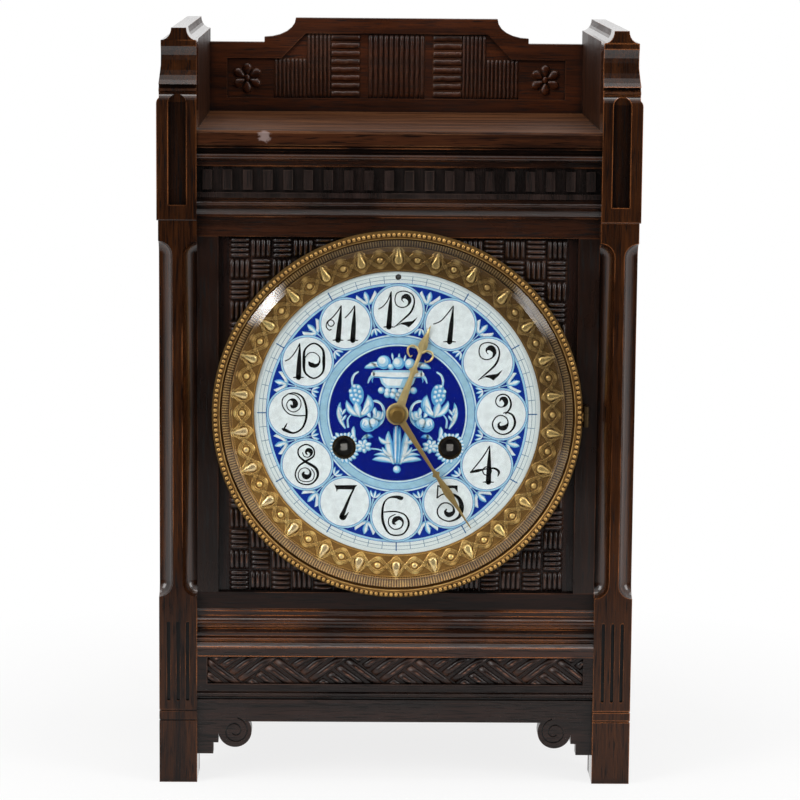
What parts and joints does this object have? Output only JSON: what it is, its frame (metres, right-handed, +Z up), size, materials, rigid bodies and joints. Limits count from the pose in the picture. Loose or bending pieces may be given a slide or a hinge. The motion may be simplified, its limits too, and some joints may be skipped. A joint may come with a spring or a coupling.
{
  "type": "mantel clock with corner pillars",
  "caption": "Carved dark oak mantel clock with corner pillars, an open gallery top, basket-weave panel and a blue and white porcelain dial in a beaded brass bezel.",
  "frame": {"origin": "centre of the footprint on the surface that the clock rests on, the rear catch knob and the bezel counted in its depth", "axes": "+X to the clock's left hand as a person faces it, that is the viewer's right; +Y from the dial to the back door; +Z up"},
  "size_m": [0.257, 0.1846, 0.408],
  "materials": {
    "case_wood": "dark stained oak, waxed, worn to orange brown on its edges",
    "dark_wood": "nearly black stained oak in the carving and the recesses",
    "carcass_wood": "plain stained oak of the back and the bottom",
    "gilt_brass": "lacquered brass with a soft old sheen",
    "embossed_brass": "pressed brass, brown in its hollows",
    "hand_gilt": "gilt brass, bright",
    "movement_brass": "clean clock brass, grained",
    "fitting_brass": "dull hinge brass",
    "movement_steel": "polished grey steel",
    "blued_steel": "blued steel wire",
    "stand_iron": "black cast iron",
    "porcelain": "white glazed porcelain, painted in blue",
    "clear_glass": "clear glass with a polished bevel"
  },
  "bodies": {
    "case": {"left_pillar": "case_wood", "right_pillar": "case_wood", "left_side": "dark_wood", "right_side": "dark_wood", "gallery_back": "case_wood", "shelf": "case_wood", "cornice_moulding": "dark_wood", "dentil_frieze": "dark_wood", "top_rail": "case_wood", "front_stiles": "case_wood", "weave_panel": "dark_wood", "bottom_rail": "case_wood", "base_moulding": "case_wood", "lattice_board": "case_wood", "apron": "case_wood", "bottom_board": "carcass_wood", "back_frame": "carcass_wood", "frame_hinge_leaves": "fitting_brass", "back_hinge_pins": "fitting_brass", "dial_ring": "gilt_brass", "embossed_ring": "embossed_brass", "dial": "porcelain", "dial_plate": "movement_brass", "hole_collars": "gilt_brass", "front_plate": "movement_brass", "back_plate": "movement_brass", "plate_pillars": "movement_brass", "gong": "blued_steel", "gong_stand": "stand_iron"},
    "bezel_door": {"bezel": "gilt_brass", "bezel_glass": "clear_glass", "glass_retainer": "gilt_brass"},
    "rear_door": {"back_door": "carcass_wood", "door_hinge_leaves": "fitting_brass"},
    "rear_catch": {"catch_knob": "fitting_brass", "catch_tongue": "fitting_brass"},
    "minute_works": {"minute_hand": "hand_gilt", "hand_nut": "hand_gilt", "cannon_pinion": "movement_brass"},
    "hour_works": {"hour_hand": "hand_gilt", "hour_wheel": "movement_brass"},
    "minute_wheel_body": {"minute_wheel": "movement_brass"},
    "going_barrel_body": {"going_barrel": "movement_brass"},
    "going_winder": {"going_arbor": "movement_steel"},
    "going_click_body": {"going_click": "movement_steel"},
    "second_wheel_body": {"second_wheel": "movement_brass"},
    "centre_wheel_body": {"centre_wheel": "movement_brass"},
    "third_wheel_body": {"third_wheel": "movement_brass"},
    "escape_wheel_body": {"escape_wheel": "movement_brass"},
    "anchor_body": {"anchor": "movement_steel"},
    "pendulum_body": {"pendulum": "movement_brass"},
    "strike_barrel_body": {"strike_barrel": "movement_brass"},
    "strike_winder": {"strike_arbor": "movement_steel"},
    "strike_click_body": {"strike_click": "movement_steel"},
    "pin_wheel_body": {"pin_wheel": "movement_brass"},
    "strike_wheel_body": {"strike_wheel": "movement_brass"},
    "fly_body": {"fly": "movement_brass"},
    "hammer_body": {"hammer": "movement_steel"},
    "regulator_body": {"regulator_arbor": "movement_steel"},
    "regulator_slide_body": {"regulator_slide": "movement_brass"}
  },
  "joints": [
    {"name": "bezel_hinge", "type": "hinge", "parent": "case", "child": "bezel_door", "pos_m": [0.101, -0.0892, 0.2025], "axis": [0, 0, 1], "range_deg": [0, 105]},
    {"name": "back_door_hinge", "type": "hinge", "parent": "case", "child": "rear_door", "pos_m": [0.0833, 0.0829, 0.1895], "axis": [0, 0, -1], "range_deg": [0, 100]},
    {"name": "back_catch_turn", "type": "hinge", "parent": "rear_door", "child": "rear_catch", "pos_m": [-0.0713, 0.0803, 0.1895], "axis": [0, 1, 0], "range_deg": [-90, 0]},
    {"name": "minute_hand_turn", "type": "hinge", "parent": "case", "child": "minute_works", "pos_m": [0, -0.0817, 0.2025], "axis": [0, 1, 0], "continuous": true},
    {"name": "hour_hand_turn", "type": "hinge", "parent": "case", "child": "hour_works", "pos_m": [0, -0.0817, 0.2025], "axis": [0, 1, 0], "continuous": true},
    {"name": "minute_wheel_turn", "type": "hinge", "parent": "case", "child": "minute_wheel_body", "pos_m": [-0.012, -0.0717, 0.2025], "axis": [0, 1, 0], "continuous": true},
    {"name": "going_barrel_turn", "type": "hinge", "parent": "case", "child": "going_barrel_body", "pos_m": [0.0285, -0.0497, 0.184], "axis": [0, 1, 0], "continuous": true},
    {"name": "going_winding", "type": "hinge", "parent": "case", "child": "going_winder", "pos_m": [0.0285, -0.0497, 0.184], "axis": [0, 1, 0], "continuous": true},
    {"name": "second_wheel_turn", "type": "hinge", "parent": "case", "child": "second_wheel_body", "pos_m": [0.01908, -0.0497, 0.20509], "axis": [0, 1, 0], "continuous": true},
    {"name": "centre_wheel_turn", "type": "hinge", "parent": "case", "child": "centre_wheel_body", "pos_m": [0, -0.0497, 0.2025], "axis": [0, 1, 0], "continuous": true},
    {"name": "third_wheel_turn", "type": "hinge", "parent": "case", "child": "third_wheel_body", "pos_m": [0.007, -0.0497, 0.2193], "axis": [0, 1, 0], "continuous": true},
    {"name": "escape_wheel_turn", "type": "hinge", "parent": "case", "child": "escape_wheel_body", "pos_m": [0, -0.0497, 0.2327], "axis": [0, 1, 0], "continuous": true},
    {"name": "going_click_swing", "type": "hinge", "parent": "case", "child": "going_click_body", "pos_m": [0.0205, -0.0697, 0.1954], "axis": [0, -1, 0], "range_deg": [0, 12], "stiffness_Nm_per_rad": 0.0005, "springref_deg": -2.86},
    {"name": "anchor_rock", "type": "hinge", "parent": "case", "child": "anchor_body", "pos_m": [0, -0.0377, 0.24755], "axis": [0, 1, 0], "range_deg": [-2.5, 2.5]},
    {"name": "pendulum_swing", "type": "hinge", "parent": "case", "child": "pendulum_body", "pos_m": [0, -0.0194, 0.24755], "axis": [0, 1, 0], "range_deg": [-2.5, 2.5]},
    {"name": "strike_barrel_turn", "type": "hinge", "parent": "case", "child": "strike_barrel_body", "pos_m": [-0.0285, -0.0497, 0.184], "axis": [0, 1, 0], "continuous": true},
    {"name": "strike_winding", "type": "hinge", "parent": "case", "child": "strike_winder", "pos_m": [-0.0285, -0.0497, 0.184], "axis": [0, 1, 0], "continuous": true},
    {"name": "pin_wheel_turn", "type": "hinge", "parent": "case", "child": "pin_wheel_body", "pos_m": [-0.01908, -0.0497, 0.20509], "axis": [0, 1, 0], "continuous": true},
    {"name": "strike_wheel_turn", "type": "hinge", "parent": "case", "child": "strike_wheel_body", "pos_m": [-0.02232, -0.0497, 0.22351], "axis": [0, 1, 0], "continuous": true},
    {"name": "fly_turn", "type": "hinge", "parent": "case", "child": "fly_body", "pos_m": [-0.01422, -0.0497, 0.23316], "axis": [0, 1, 0], "continuous": true},
    {"name": "strike_click_swing", "type": "hinge", "parent": "case", "child": "strike_click_body", "pos_m": [-0.0365, -0.0697, 0.1954], "axis": [0, -1, 0], "range_deg": [0, 12], "stiffness_Nm_per_rad": 0.0005, "springref_deg": -2.86},
    {"name": "regulator_turn", "type": "hinge", "parent": "case", "child": "regulator_body", "pos_m": [0, -0.0497, 0.2762], "axis": [0, 1, 0], "range_deg": [-44.56, 44.56]},
    {"name": "regulator_slide_travel", "type": "slide", "parent": "case", "child": "regulator_slide_body", "axis": [0, 0, 1], "range_m": [-0.0014, 0.0014]},
    {"name": "hammer_lift", "type": "hinge", "parent": "case", "child": "hammer_body", "pos_m": [-0.048, -0.0397, 0.2105], "axis": [0, 1, 0], "range_deg": [0, 12], "stiffness_Nm_per_rad": 0.02, "springref_deg": -9.74}
  ],
  "couplings": [
    {"joint": "minute_wheel_turn", "follows": "minute_hand_turn", "ratio": -0.33333},
    {"joint": "hour_hand_turn", "follows": "minute_hand_turn", "ratio": 0.083333},
    {"joint": "third_wheel_turn", "follows": "escape_wheel_turn", "ratio": -0.08},
    {"joint": "centre_wheel_turn", "follows": "escape_wheel_turn", "ratio": 0.0066667},
    {"joint": "second_wheel_turn", "follows": "escape_wheel_turn", "ratio": -0.0011111},
    {"joint": "going_barrel_turn", "follows": "escape_wheel_turn", "ratio": 0.00018519},
    {"joint": "strike_wheel_turn", "follows": "fly_turn", "ratio": -0.125},
    {"joint": "pin_wheel_turn", "follows": "fly_turn", "ratio": 0.016667},
    {"joint": "strike_barrel_turn", "follows": "fly_turn", "ratio": -0.0027778},
    {"joint": "regulator_turn", "follows": "regulator_slide_travel", "rad_per_m": -555.56},
    {"joint": "anchor_rock", "follows": "pendulum_swing", "ratio": 1}
  ]
}
